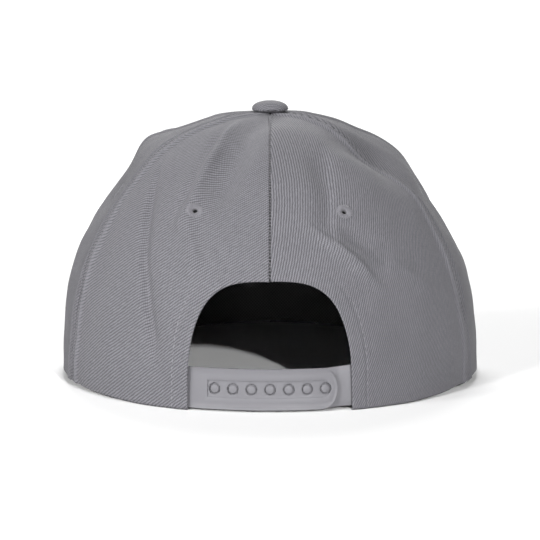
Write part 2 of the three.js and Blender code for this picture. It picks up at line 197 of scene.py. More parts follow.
def off_fold(azimuth, up, start_azimuth, start_up, end_azimuth, end_up):
    """Distance in mm from a fold's line, and the share along it."""
    girth = half_width_at((start_up + end_up) / 2)
    start = np.array([np.radians(start_azimuth) * girth, start_up * SURFACE_LENGTH])
    end = np.array([np.radians(end_azimuth) * girth, end_up * SURFACE_LENGTH])
    here = np.stack([np.radians(wrapped(azimuth)) * girth, up * SURFACE_LENGTH], -1)
    line = end - start
    share = np.clip((here - start) @ line / (line @ line), 0, 1)
    away = np.linalg.norm(here - start - share[..., None] * line, axis=-1)
    return away, share


def hollow(azimuth, up, at, at_up, half_width, half_height):
    """A round hollow of depth one about a place on the crown, its half sizes in mm."""
    across = np.radians(wrapped(azimuth - at)) * half_width_at(up)
    along = (up - at_up) * SURFACE_LENGTH
    return bulge(across, half_width) * bulge(along, half_height)


def pressed_in(azimuth, up):
    """Depth in mm of the dents and soft folds that the solids have too."""
    depth = np.zeros_like(up)
    for at, at_up, wide, tall, deep in DENTS:
        depth += deep * hollow(azimuth, up, at, at_up, wide * CROWN_HALF_WIDTH, tall * CROWN_HALF_WIDTH)
    for *line, wide, deep in FOLDS:
        away, share = off_fold(azimuth, up, *line)
        fade = np.minimum(1, 4 * share * (1 - share) + 0.25)
        depth += deep * fade * bulge(away, wide * CROWN_HALF_WIDTH)
    return depth * CROWN_HALF_WIDTH


def crown_surface(azimuth, up):
    azimuth, up = np.broadcast_arrays(np.asarray(azimuth, float), np.asarray(up, float))
    radial, upright = section_powers(azimuth)
    turn = np.radians(azimuth)
    rise = np.clip(up, 0, 1) * np.pi / 2
    inward = np.maximum(np.cos(rise), 0) ** (2 / radial)
    upward = np.sin(rise) ** (2 / upright)
    foot = rim_height(azimuth)
    points = np.stack([
        CROWN_HALF_WIDTH * inward * np.sin(turn),
        -CROWN_HALF_LENGTH * inward * np.cos(turn) + APEX_SHIFT * upward,
        foot + (CROWN_HEIGHT - foot) * upward,
    ], -1)
    outward = points - np.array([0, APEX_SHIFT, CROWN_HEIGHT / 4])
    outward /= np.linalg.norm(outward, axis=-1, keepdims=True)
    return points - outward * pressed_in(azimuth, up)[..., None]


def crown_normal(azimuth, up):
    step = 0.004
    aside = crown_surface(azimuth + 1, up) - crown_surface(azimuth - 1, up)
    higher, lower = np.minimum(up + step, 1), np.maximum(up - step, 0)
    above = crown_surface(azimuth, higher) - crown_surface(azimuth, lower)
    normal = np.cross(aside, above)
    normal[..., 2] *= ease(up, 0, 0.06)
    return normal / np.linalg.norm(normal, axis=-1, keepdims=True)


def on_crown(azimuth, up, depth=0):
    """Places a depth in mm inside the crown's outer surface."""
    azimuth, up = np.broadcast_arrays(np.asarray(azimuth, float), np.asarray(up, float))
    depth = np.broadcast_to(np.asarray(depth, float), up.shape)
    return crown_surface(azimuth, up) - crown_normal(azimuth, up) * depth[..., None]


def up_at_height(azimuth, height):
    upright = section_powers(azimuth)[1]
    share = np.clip(height / (CROWN_HEIGHT - rim_height(azimuth)), 0, 1)
    return np.arcsin(share ** (upright / 2)) * 2 / np.pi


def up_at_radius(azimuth, radius):
    return np.arccos((radius / CROWN_HALF_WIDTH) ** (section_powers(azimuth)[0] / 2)) * 2 / np.pi


def girth_at(azimuth, up):
    """Length in mm of one degree round the crown."""
    half = 0.5
    return np.linalg.norm(crown_surface(azimuth + half, up) - crown_surface(azimuth - half, up), axis=-1)


def metres(points):
    """Places in mm about the crown's middle, as metres in the CAD frame."""
    return (np.asarray(points) - (0, ORIGIN_SHIFT, 0)) / 1000


def crowded(share, amount):
    """Spreads even shares so that they lie closer together at both ends."""
    return share - amount * np.sin(2 * np.pi * share) / (2 * np.pi)


def length_along(points):
    return np.concatenate([[0], np.cumsum(np.linalg.norm(np.diff(points, axis=0), axis=1))])


def from_line(places, line):
    """Shortest distance in mm from each place to a line of points."""
    nearest = np.full(len(places), 1e9)
    for start in range(0, len(line), 100):
        part = line[start : start + 100]
        nearest = np.minimum(nearest, np.linalg.norm(places[:, None] - part[None], axis=-1).min(1))
    return nearest


# Pieces
def add_piece(name, mesh, material, slot, *nodes):
    piece = bpy.data.objects.new(name, mesh)
    bpy.context.scene.collection.objects.link(piece)
    mesh.materials.clear()
    mesh.materials.append(material)
    mesh.shade_smooth()
    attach(piece, "root")
    if nodes:
        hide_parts(*nodes)
    return piece


def made_mesh(name, body):
    """A mesh with a bmesh's shape. The bmesh is spent."""
    mesh = bpy.data.meshes.new(name)
    body.to_mesh(mesh)
    body.free()
    return mesh


def join_on(body, mesh):
    """Adds a mesh's shape to a bmesh. The mesh is spent."""
    body.from_mesh(mesh)
    bpy.data.meshes.remove(mesh)


def corner_places(body):
    return np.array([corner.co for corner in body.verts]).T


def grid_mesh(name, columns, rows):
    """A flat grid as a mesh, and each corner's share across and up it."""
    sheet = bmesh.new()
    bmesh.ops.create_grid(sheet, x_segments=columns, y_segments=rows, size=0.5)
    mesh = made_mesh(name, sheet)
    corners = np.empty(len(mesh.vertices) * 3)
    mesh.vertices.foreach_get("co", corners)
    corners = corners.reshape(-1, 3)[:, :2]
    low, high = corners.min(0), corners.max(0)
    return mesh, *((corners - low) / (high - low)).T


def move_corners(mesh, places):
    mesh.vertices.foreach_set("co", metres(places).ravel())
    mesh.update()


def lay_out(mesh, name, flat):
    """A UV map in millimetres of cloth, from each corner's two lengths."""
    corner_of = np.empty(len(mesh.loops), dtype=np.int32)
    mesh.loops.foreach_get("vertex_index", corner_of)
    layer = mesh.uv_layers.new(name=name)
    layer.uv.foreach_set("vector", np.stack(flat, -1)[corner_of].astype(np.float32).ravel())


def add_cloth(node, mesh, material, slot, thickness):
    """Adds a sheet in place of its solid, with its thickness in mm behind the face it shows."""
    piece = add_piece(node + "_cloth", mesh, material, slot, node)
    wall = piece.modifiers.new("wall", "SOLIDIFY")
    wall.thickness = thickness / 1000
    wall.offset = -1


# Relief of the cloth, in mm outwards. Each crease has the up and azimuth of its low end, middle and high end,
# then how far it spreads to the left and right of that line, and its height.
CREASES = [
    (0.08, -31.0, 0.33, -40.6, 0.6, -54.5, 1.3, 5.0, -1.6),
    (0.08, -28.9, 0.33, -38.5, 0.6, -51.8, 1.1, 3.5, 0.7),
    (0.42, -33.5, 0.62, -32.4, 0.84, -42.5, 3.0, 1.5, -1.3),
    (0.42, -30.6, 0.65, -29.4, 0.88, -39.5, 1.5, 3.0, 1.2),
    (0.46, -21.5, 0.68, -17.0, 0.91, -18.5, 6.5, 8.0, -2.6),
    (0.25, -18.5, 0.38, -24.5, 0.5, -31.5, 5.0, 2.2, 1.0),
    (0.36, 18.5, 0.5, 21.6, 0.72, 32.0, 7.0, 2.2, -1.7),
    (0.26, 33.0, 0.35, 23.5, 0.44, 12.5, 2.6, 1.6, 2.1),
    (0.3, 38.0, 0.38, 29.5, 0.46, 20.5, 3.5, 9.0, -1.3),
    (0.22, 53.0, 0.29, 43.5, 0.34, 35.0, 5.0, 2.6, 1.1),
    (0.45, 66.0, 0.62, 65.0, 0.86, 64.0, 9.0, 6.0, 1.2),
]


def creases(azimuth, up):
    """Sharp folds in the cloth, steep on one side and gentle on the other."""
    height = np.zeros_like(up)
    for low, start, middle, bend, high, end, left, right, tall in CREASES:
        path = np.polyfit([low, middle, high], [start, bend, end], 2)
        girth = np.radians(half_width_at(up))
        lean = np.arctan(np.polyval(np.polyder(path), up) * girth / SURFACE_LENGTH)
        aside = (wrapped(azimuth) - np.polyval(path, up)) * girth * np.cos(lean)
        fade = ease(up, low - 0.03, low + 0.1) * (1 - ease(up, high - 0.1, high + 0.03))
        height += tall * fade * bulge(aside, np.where(aside < 0, left, right))
    return height


def edge_roll(distance, radius):
    """How far a rolled cloth edge falls away at a distance from its very edge."""
    short = np.clip(radius - distance, 0, radius)
    return -(radius - np.sqrt(radius**2 - short**2))


def seam_relief(distance):
    """The raised, topstitched band beside a seam, with the ditch at the seam itself."""
    band = 0.75 * (1 - ease(distance, WELT - 0.4, WELT + 3))
    welt = 0.35 * bulge(distance - WELT, 1)
    ditch = -0.8 * bulge(distance, 0.45)
    groove = -0.25 * bulge(distance - TOPSTITCH, 0.5)
    return band + welt + ditch + groove


def centre_relief(distance):
    return -0.5 * bulge(distance, 0.4)


def hem_relief(distance):
    band = 0.25 * (1 - ease(distance, HEM - 0.4, HEM + 1))
    groove = -0.16 * bulge(distance - HEM, 0.6)
    return band + groove


# wavelength in mm, direction in degrees, phase, height in mm
RIPPLES = [
    (41, 12, 0.3, 0.2),
    (33, 77, 1.9, 0.18),
    (24, 131, 4.1, 0.12),
    (19, 40, 2.6, 0.09),
    (14.5, 101, 5.2, 0.06),
]


def ripples(across, along, turn):
    height = np.zeros_like(across)
    for wave, direction, phase, tall in RIPPLES:
        heading = math.radians(direction + turn)
        run = across * math.cos(heading) + along * math.sin(heading)
        height += tall * np.sin(2 * np.pi * run / wave + phase)
    return height


def flat_pattern(azimuth, up, centre):
    """The panel's cloth laid flat: mm across from its middle, and mm up from the rim."""
    ups = np.linspace(0, 1, 400)
    lengths = length_along(crown_surface(centre, ups))
    return wrapped(azimuth - centre) * girth_at(azimuth, up), np.interp(up, ups, lengths)


def arch_edge(share, outset=0):
    """Azimuth and up along the arch's right half, or along a line outset mm outside it."""
    turn = share * np.pi / 2
    x = (ARCH_HALF_WIDTH + outset) * np.maximum(np.cos(turn), 0) ** (2 / ARCH_POWER)
    height = (ARCH_HEIGHT + outset) * np.sin(turn) ** (2 / ARCH_POWER)
    foot = math.degrees(math.asin((ARCH_HALF_WIDTH + outset) / CROWN_HALF_WIDTH))
    up = up_at_height(foot * (1 - share), height)
    half_width = half_width_at(up, 2 / section_powers(0.0)[0])
    return np.degrees(np.arcsin(x / half_width)), up


def flat_round_apex(azimuth, up):
    """Azimuth and up as a place on a disc about the apex, on which straight lines can cross the apex."""
    turn = np.radians(azimuth)
    return np.stack([-(1 - up) * np.sin(turn), (1 - up) * np.cos(turn)], -1)


def back_panel_places(side, across, upward):
    """Azimuth and up over a back panel, a patch between the arch, rim, side seam and centre seam."""
    share = across if side > 0 else 1 - across
    seam_tip = up_at_radius(float(SIDE_SEAM), TIP_RADIUS)
    centre_tip = up_at_radius(0.0, TIP_RADIUS)

    def half_gap(up, gap=SEAM_GAP):
        return np.degrees(gap / 2 / half_width_at(up, 0.93))

    def arch(v):
        azimuth, up = arch_edge(v)
        return flat_round_apex(np.maximum(azimuth, half_gap(up, CENTRE_GAP)), up)

    def seam(v):
        up = v * seam_tip
        return flat_round_apex(SIDE_SEAM - half_gap(up), up)

    def rim(u):
        foot = math.degrees(math.asin(ARCH_HALF_WIDTH / CROWN_HALF_WIDTH))
        return flat_round_apex(foot + (SIDE_SEAM - half_gap(0.0) - foot) * u, np.zeros_like(u))

    def centre(u):
        swing = 0.975
        top = arch_edge(np.array(1.0))[1]
        up = top + (centre_tip - top) * np.minimum(1, u / swing)
        turn = ease(u, swing, 1)
        azimuth = half_gap(up, CENTRE_GAP) * (1 - turn) + (SIDE_SEAM - half_gap(seam_tip)) * turn
        return flat_round_apex(azimuth, up * (1 - turn) + seam_tip * turn)

    u, v = share[:, None], upward[:, None]
    one, none = np.array(1.0), np.array(0.0)
    place = arch(upward) * (1 - u) + seam(upward) * u + rim(share) * (1 - v) + centre(share) * v
    place -= arch(none) * (1 - u) * (1 - v) + seam(none) * u * (1 - v)
    place -= arch(one) * (1 - u) * v + seam(one) * u * v
    azimuth = np.degrees(np.arctan2(-place[:, 0], place[:, 1]))
    return side * azimuth, 1 - np.hypot(place[:, 0], place[:, 1])


def panel_middle(azimuth):
    """Azimuth of the middle of the panel that an azimuth lies in."""
    seams = np.array([-180, -FRONT_SEAM, -SIDE_SEAM, 0, SIDE_SEAM, FRONT_SEAM, 180])
    after = np.searchsorted(seams, wrapped(azimuth))
    return float(seams[after - 1] + seams[after]) / 2


def slack(azimuth, up):
    """Relief of both shoulders, where the cloth sags under its own weight."""
    height = np.zeros_like(up)
    for at in (-SLACK_AZIMUTH, SLACK_AZIMUTH):
        height -= SLACK_DEPTH * hollow(azimuth, up, at, SLACK_UP, SLACK_HALF_WIDTH, SLACK_HALF_HEIGHT)
    return height


def handled(azimuth, up, centre):
    """The slack, small ripples and creases of the panel whose middle is the centre."""
    return slack(azimuth, up) + ripples(*flat_pattern(azimuth, up, centre), centre) + creases(azimuth, up)


def finished_panel(name, mesh, cloth, seam, eyelet_azimuth, material):
    """Lays out a panel's weave, cuts the hole for its eyelet and adds it in place of its solid."""
    lay_out(mesh, "cloth", cloth)
    lay_out(mesh, "seam", seam)
    cut_eyelet_hole(mesh, eyelet_azimuth)
    add_cloth(name, mesh, material, "cloth", CLOTH)


def from_arch_edge(points, side):
    """Distance in mm from the arch's edge for the points that lie near it, and a long way for the rest."""
    edge_azimuth, edge_up = arch_edge(np.linspace(0, 1, 240))
    distance = np.full(len(points), 99.0)
    near = points[:, 2] < ARCH_HEIGHT + 20
    distance[near] = from_line(points[near], crown_surface(edge_azimuth * side, edge_up))
    return distance


def back_panel(side, material):
    name = "panel_back_right" if side > 0 else "panel_back_left"
    mesh, across, upward = grid_mesh(name + "_cloth", 200, 215)
    shares = crowded(across, ACROSS_CROWDING), crowded(upward, UPWARD_CROWDING)
    azimuth, up = back_panel_places(side, *shares)
    girth = girth_at(azimuth, up)
    from_side_seam = (SIDE_SEAM - np.abs(azimuth)) * girth
    points = crown_surface(azimuth, up)
    from_arch = from_arch_edge(points, side)
    from_rim = points[:, 2] - rim_height(azimuth)
    relief = seam_relief(from_side_seam) + hem_relief(from_arch) + handled(azimuth, up, side * SIDE_SEAM / 2)
    relief += centre_relief(np.abs(azimuth) * girth)
    relief += edge_roll(from_arch, EDGE_ROLL) + edge_roll(from_rim, EDGE_ROLL)
    move_corners(mesh, on_crown(azimuth, up, -relief))
    x, y = flat_pattern(azimuth, up, side * SIDE_SEAM / 2)
    if side > 0:
        cloth = x + RIGHT_PULL * y**2 / 2, y
    else:
        cloth = x, y - LEFT_DROOP * x**2 / 2
    finished_panel(name, mesh, cloth, (from_side_seam, y), side * BACK_EYELET, material)


def plain_panel(name, start, end, columns, material):
    mesh, across, upward = grid_mesh(name + "_cloth", columns, 150)
    middle = start + (end - start) * across
    up = crowded(upward, UPWARD_CROWDING) * up_at_radius(middle, TIP_RADIUS)
    half_gap = SEAM_GAP / 2 / np.maximum(girth_at(middle, up), 1e-6)
    azimuth = start + half_gap + (end - start - 2 * half_gap) * crowded(across, 0.75)
    girth = girth_at(azimuth, up)
    from_seam = np.minimum(azimuth - start, end - azimuth) * girth
    from_rim = crown_surface(azimuth, up)[:, 2] - rim_height(azimuth)
    centre = (start + end) / 2
    relief = seam_relief(from_seam) + handled(azimuth, up, centre) + edge_roll(from_rim, EDGE_ROLL)
    move_corners(mesh, on_crown(azimuth, up, -relief))
    cloth = flat_pattern(azimuth, up, centre)
    finished_panel(name, mesh, cloth, (from_seam, cloth[1]), centre, material)


def cut_eyelet_hole(mesh, azimuth):
    centre = Vector(metres(on_crown(azimuth, EYELET_HEIGHT)))
    reach = 1.9 / 1000
    sheet = bmesh.new()
    sheet.from_mesh(mesh)
    inside = [f for f in sheet.faces if (f.calc_center_median() - centre).length < reach]
    bmesh.ops.delete(sheet, geom=inside, context="FACES")
    sheet.to_mesh(mesh)
    sheet.free()


# Threads
def along_line(at, run, values):
    return Vector([np.interp(at, run, values[:, k]) for k in range(3)])


def stitch_rows(name, rows, material, pitch=2.9, length=2.3, thick=0.42):
    """Small threads along rows of points, each row with its outward normals."""
    threads = bmesh.new()
    reach = 0.4
    for points, normals in rows:
        run = length_along(points)
        row = bmesh.new()
        for along in np.arange(pitch / 2, run[-1] - pitch / 2, pitch):
            start, end = along_line(along - reach, run, points), along_line(along + reach, run, points)
            out = along_line(along, run, normals).normalized()
            ahead = (end - start).normalized()
            aside = out.cross(ahead).normalized()
            basis = Matrix((ahead * length, aside * thick, out * thick)).transposed().to_4x4()
            middle = Vector(metres((start + end) / 2))
            bmesh.ops.create_uvsphere(
                row, u_segments=6, v_segments=4, radius=0.5,
                matrix=Matrix.Translation(middle) @ Matrix.Scale(0.001, 4) @ basis,
            )
        join_on(threads, made_mesh("row", row))
    add_piece(name, made_mesh(name, threads), material, "thread")


def seam_row(seam, offset):
    """The row of stitching at an offset from a seam, sunk into its groove."""
    up = np.linspace(0.004, up_at_radius(float(seam), SEAM_END_RADIUS), 260)
    azimuth = seam + offset / girth_at(float(seam), up)
    centre = panel_middle(seam + np.sign(offset))
    relief = seam_relief(np.full_like(up, abs(offset))) + handled(azimuth, up, centre)
    return on_crown(azimuth, up, 0.15 - relief), crown_normal(azimuth, up)


def hem_row(side):
    """Half of the arch's row of stitching, which sinks deeper the higher it runs."""
    azimuth, up = arch_edge(np.linspace(0, 0.985, 300), HEM)
    relief = hem_relief(np.full_like(up, HEM)) + handled(azimuth * side, up, panel_middle(side))
    sink = 0.13 + 0.16 * ease(up, 0.15, 0.35)
    return on_crown(azimuth * side, up, sink - relief), crown_normal(azimuth * side, up)


def ditch_stitches(material):
    """The small threads that show across the ditch of the centre back seam."""
    up = np.linspace(arch_edge(np.array(1.0))[1] + 0.006, up_at_radius(0.0, SEAM_END_RADIUS), 260)
    line = on_crown(0.0, up, 0.35), crown_normal(0.0, up)
    stitch_rows("centre_seam_thread", [line], material, pitch=1.6, length=0.8, thick=0.62)


# Eyelets and button
def spun(profile, steps):
    """A closed ring or dome turned from a profile of (radius, height) in mm."""
    body = bmesh.new()
    corners = [body.verts.new((radius, 0, height)) for radius, height in profile]
    edges = [body.edges.new(pair) for pair in zip(corners, corners[1:])]
    bmesh.ops.spin(
        body, geom=corners + edges, cent=(0, 0, 0), axis=(0, 0, 1), dvec=(0, 0, 0),
        angle=2 * math.pi, steps=steps, use_merge=True, use_duplicate=False,
    )
    bmesh.ops.remove_doubles(body, verts=body.verts, dist=1e-5)
    bmesh.ops.recalc_face_normals(body, faces=body.faces)
    return body


def eyelet(name, azimuth, material):
    hole, outside = EYELET_HOLE_RADIUS, EYELET_RADIUS
    foot = -0.1
    profile = [(hole, -CLOTH), (hole + 0.55, -CLOTH), (hole + 0.55, foot), (outside, foot - 0.2)]
    profile += [(outside - 0.05, foot + 0.12), (outside - 0.5, foot + 0.42), (outside - 1.2, foot + 0.55)]
    profile += [(hole + 0.8, foot + 0.42), (hole + 0.3, foot + 0.1), (hole, foot - 0.4), (hole, -CLOTH)]
    ring = spun(profile, 156)
    base = crown_surface(azimuth, EYELET_HEIGHT)
    step = 0.01
    round_length = np.linalg.norm(crown_surface(azimuth + 1, EYELET_HEIGHT) - base)
    up_length = np.linalg.norm(crown_surface(azimuth, EYELET_HEIGHT + step) - base) / step
    x, y, z = corner_places(ring)
    radius, turn = np.hypot(x, y), np.arctan2(y, x)
    thread = ease(radius, hole + 0.1, hole + 0.8) * np.where(z > foot, 1, 0)
    stitches = np.cos(EYELET_STITCHES * turn)
    ragged = 0.025 * np.sin(7 * turn + azimuth) + 0.04 * stitches
    spread = 1 + ragged * ease(radius, outside - 1, outside)
    z = z + thread * (0.2 * stitches + 0.06 * np.sin(11 * turn))
    around, up = azimuth + x * spread / round_length, EYELET_HEIGHT + y * spread / up_length
    places = on_crown(around, up, -z - handled(around, up, panel_middle(azimuth)))
    mesh = made_mesh(name + "_thread", ring)
    move_corners(mesh, places)
    add_piece(name + "_thread", mesh, material, "thread", name)


def button(material):
    foot, belly, shank = 0.15, 1.5, 2.4
    profile = [(0, -3), (shank, -3), (shank, foot)]
    profile += [(BUTTON_RADIUS * 0.8, foot), (BUTTON_RADIUS * 0.93, foot + 0.15)]
    for turn in np.radians(np.linspace(-50, 90, 26)):
        lift = 1.9 if turn < 0 else BUTTON_HEIGHT - belly
        reach = BUTTON_RADIUS * max(math.cos(turn), 0) ** 0.9
        profile.append((reach, foot + belly + lift * math.sin(turn)))
    profile[-1] = (0, profile[-1][1])
    dome = spun(profile, 128)
    x, y, z = corner_places(dome)
    radius, turn = np.hypot(x, y), np.arctan2(y, x)
    gather = ease(radius, 5.5, 7.8) * (1 - ease(z, 1.2, 3))
    pleats = gather * (0.07 * np.cos(19 * turn) + 0.12 * np.sin(8 * z + 2 * np.sin(3 * turn)))
    grow = 1 + pleats / np.maximum(radius, 1)
    apex = CROWN_HEIGHT - pressed_in(np.zeros(1), np.ones(1))[0]
    arc = radius + np.maximum(0, 3 - z) * (radius > 7)
    mesh = made_mesh("top_button_cloth", dome)
    move_corners(mesh, np.stack([x * grow, y * grow + APEX_SHIFT, z + apex], -1))
    lay_out(mesh, "cloth", (arc * np.cos(turn), arc * np.sin(turn)))
    add_piece("top_button_cloth", mesh, material, "cloth", "top_button")


# Brim
BRIM_START = CROWN_HALF_LENGTH * math.cos(math.radians(BRIM_CORNER))
BRIM_ROUNDING = 1.7
BRIM_FIRST_ROW = 3.2
BRIM_ROW_PITCH = 7.4
BRIM_ROWS = 8
ROW_CLEARANCE = 1.5
ROWS_START = 24


def brim_outline(across):
    """The brim's outer edge seen from above, for shares from -1 to 1 of its width."""
    turn = across * np.pi / 2
    reach = CROWN_HALF_LENGTH + BRIM_REACH - BRIM_START
    x = BRIM_HALF_WIDTH * np.sign(turn) * np.abs(np.sin(turn)) ** (2 / BRIM_POWER)
    y = BRIM_START + reach * np.maximum(0, np.cos(turn)) ** (2 / BRIM_POWER)
    return np.stack([x, y], -1)


def brim_seam(across):
    """The line just clear of the crown that the brim starts from, for the same shares."""
    turn = np.radians(across * BRIM_CORNER)
    clear = 0.05
    x = (CROWN_HALF_WIDTH + clear) * np.sin(turn)
    y = (CROWN_HALF_LENGTH + clear) * np.cos(turn)
    return np.stack([x, y], -1)


def brim_edge():
    return brim_outline(np.linspace(-1, 1, 500))


def brim_sheet(body, upper):
    """Adds the brim's upper or lower face, which meets the other one all round in a rounded edge."""
    mesh, across, outward = grid_mesh("brim_half", 200, 64)
    side = np.sign(across - 0.5) * np.abs(crowded(across, 0.35) * 2 - 1)
    share = crowded(outward, 0.8)[:, None]
    places = brim_seam(side) * (1 - share) + brim_outline(side) * share
    from_edge = np.where(outward > 0.9999, 0, from_line(places, brim_edge()))
    from_corners, from_seam = np.minimum(across, 1 - across) * 900, outward * 60
    inset = np.minimum(np.minimum(from_edge, from_corners), from_seam)
    rounding = np.sqrt(np.clip(1 - (1 - np.clip(inset / BRIM_ROUNDING, 0, 1)) ** 2, 0, 1))
    height = brim_underside(places[:, 0], places[:, 1]) + BRIM_THICKNESS / 2
    height += (1 if upper else -1) * rounding * BRIM_THICKNESS / 2
    move_corners(mesh, np.column_stack([places, height]))
    lay_out(mesh, "cloth", places.T)
    lay_out(mesh, "rows", (from_edge, places[:, 0]))
    half = bmesh.new()
    half.from_mesh(mesh)
    if upper != (sum(face.normal.z for face in half.faces) > 0):
        bmesh.ops.reverse_faces(half, faces=half.faces)
    half.to_mesh(mesh)
    half.free()
    join_on(body, mesh)


def brim(material):
    body = bmesh.new()
    brim_sheet(body, True)
    brim_sheet(body, False)
    bmesh.ops.remove_doubles(body, verts=body.verts, dist=2e-6)
    add_piece("brim_cloth", made_mesh("brim_cloth", body), material, "cloth", "brim")


def brim_stitches(material):
    outline = brim_edge()
    half_width, half_length = CROWN_HALF_WIDTH + ROW_CLEARANCE, CROWN_HALF_LENGTH + ROW_CLEARANCE
    ahead = np.gradient(outline, axis=0)
    inward = np.stack([-ahead[:, 1], ahead[:, 0]], -1) / np.linalg.norm(ahead, axis=1, keepdims=True)
    inward *= np.sign((np.array([0, 90]) - outline[250]) @ inward[250])
    rows = []
    for row in range(BRIM_ROWS):
        inset = BRIM_FIRST_ROW + row * BRIM_ROW_PITCH
        path = outline + inward * inset
        outside = np.hypot(path[:, 0] / half_width, path[:, 1] / half_length) > 1
        clear = from_line(path, outline) > inset - 0.2
        path = path[outside & clear & (path[:, 1] > ROWS_START)]
        under = brim_underside(path[:, 0], path[:, 1])
        out = np.tile([0.0, 0.0, 1.0], (len(path), 1))
        rows.append((np.column_stack([path, under + BRIM_THICKNESS - 0.06]), out))
        rows.append((np.column_stack([path, under + 0.22]), -out))
    stitch_rows("brim_thread", rows, material, pitch=3.3, length=2.6)


# Snap strap
UNDER_CLOTH = CLOTH + FIT_GAP
SECOND_LAYER = UNDER_CLOTH + STRAP_THICKNESS + FIT_GAP
STRAP_MIDDLE = STRAP_LIFT + STRAP_HEIGHT / 2
LAST_SNAP = SNAP_PITCH * (SNAP_COUNT - 1) / 2
SNAP_PLACES = [number * SNAP_PITCH - LAST_SNAP for number in range(SNAP_COUNT)]
STRAP_END = LAST_SNAP + STRAP_END_MARGIN
STRAP_ROOT = max(ARCH_HALF_WIDTH, STRAP_END) + STRAP_TUCK
BEAD_WIDTH = 0.65
BEAD_RISE = 0.4
PEG_FOOT_RADIUS = 2.15


def strap_place(length, height, depth):
    azimuth = np.degrees(length / CROWN_HALF_WIDTH)
    return on_crown(azimuth, up_at_height(azimuth, height), depth)


def flat_strip(left, right, height, end_radius, top):
    """A flat bar in mm, lying at a height over X and Y, with an elliptic right end."""
    strip = bmesh.new()
    bmesh.ops.create_grid(strip, x_segments=1, y_segments=1, size=0.5)
    bmesh.ops.scale(strip, vec=(right - left, height, 1), verts=strip.verts)
    bmesh.ops.translate(strip, vec=((right + left) / 2, 0, 0), verts=strip.verts)
    ends = [corner for corner in strip.verts if corner.co.x > right - 0.01]
    bmesh.ops.bevel(
        strip, geom=ends, offset=height / 2 * 0.995, segments=14, profile=0.5, affect="VERTICES", material=-1
    )
    start = right - height / 2
    for corner in strip.verts:
        if corner.co.x > start:
            corner.co.x = right - end_radius + (corner.co.x - start) * end_radius / (height / 2)
        corner.co.z = top
    for face in strip.faces:
        if face.normal.z < 0:
            face.normal_flip()
    return strip


def raise_walls(strip, thickness):
    """Gives a flat bar its thickness downwards and returns its top face."""
    top = max(strip.faces, key=lambda face: face.calc_area())
    lower = bmesh.ops.extrude_face_region(strip, geom=[top], use_keep_orig=True)["geom"]
    corners = [part for part in lower if isinstance(part, bmesh.types.BMVert)]
    bmesh.ops.translate(strip, vec=(0, 0, -thickness), verts=corners)
    bmesh.ops.recalc_face_normals(strip, faces=strip.faces)
    return max((face for face in strip.faces if face.normal.z > 0.9), key=lambda face: face.calc_area())


def as_object(name, body):
    made = bpy.data.objects.new(name, made_mesh(name, body))
    bpy.context.scene.collection.objects.link(made)
    return made


def cut_with(body, cutters):
    """The body with each cutter taken out of it."""
    target = as_object("strap_blank", body)
    tools = [as_object("cutter", cutter) for cutter in cutters]
    for tool in tools:
        cut = target.modifiers.new("cut", "BOOLEAN")
        cut.operation = "DIFFERENCE"
        cut.solver = "EXACT"
        cut.object = tool
    shaped = bmesh.new()
    shaped.from_object(target, bpy.context.evaluated_depsgraph_get())
    for spent in [target, *tools]:
        bpy.data.meshes.remove(spent.data)
    return shaped


def soften(body, offset):
    blunt = math.radians(40)
    sharp = [edge for edge in body.edges if len(edge.link_faces) == 2 and edge.calc_face_angle() > blunt]
    bmesh.ops.bevel(
        body, geom=sharp, offset=offset, segments=2, profile=0.5,
        affect="EDGES", material=-1, clamp_overlap=True,
    )


def slice_for_bending(body, spacing=1.3):
    """Cuts a flat strap's faces across at an even spacing, and four times along."""
    low, high = min(c.co.x for c in body.verts), max(c.co.x for c in body.verts)
    cuts = [((x, 0, 0), (1, 0, 0)) for x in np.arange(low + spacing, high - spacing / 2, spacing)]
    cuts += [((0, y, 0), (0, 1, 0)) for y in (-5.6, -2.2, 2.2, 5.6)]
    for place, normal in cuts:
        parts = body.verts[:] + body.edges[:] + body.faces[:]
        bmesh.ops.bisect_plane(body, geom=parts, dist=1e-4, plane_co=place, plane_no=normal)


def bend_to_cap(body, name, depth_at, lift_at=np.zeros_like, flip=1):
    """Bends a flat strap to the crown. Its top face lies at depth_at(length) inside the crown's outside."""
    x, y, z = corner_places(body)
    x = x * flip
    mesh = made_mesh(name, body)
    move_corners(mesh, strap_place(x, STRAP_MIDDLE + y + lift_at(x), depth_at(x) - z))
    lay_out(mesh, "cloth", (x, y))
    if flip < 0:
        mesh.flip_normals()
    return mesh


def add_moulding(name, mesh, material):
    piece = add_piece(name + "_moulded", mesh, material, "snap_plastic", name)
    piece.data.set_sharp_from_angle(angle=math.radians(38))


def snap_hole(x):
    cutter = bmesh.new()
    bmesh.ops.create_cone(
        cutter, cap_ends=True, segments=40, radius1=SNAP_HOLE_RADIUS, radius2=SNAP_HOLE_RADIUS, depth=6,
        matrix=Matrix.Translation((x, 0, 0)),
    )
    return cutter


def snap_peg():
    """A peg with a domed head on a wider foot, standing on the inner strap."""
    head = -UNDER_CLOTH - RECESS_DEPTH
    foot = head - 0.7
    root = -SECOND_LAYER - 0.3
    wide, narrow = PEG_FOOT_RADIUS, PEG_RADIUS
    profile = [(0, root), (wide, root), (wide, foot - 0.1), (wide - 0.1, foot), (narrow, foot + 0.04)]
    profile += [(narrow, head - 0.2), (narrow - 0.15, head), (narrow - 0.4, head + 0.08), (0, head + 0.12)]
    return spun(profile, 40)


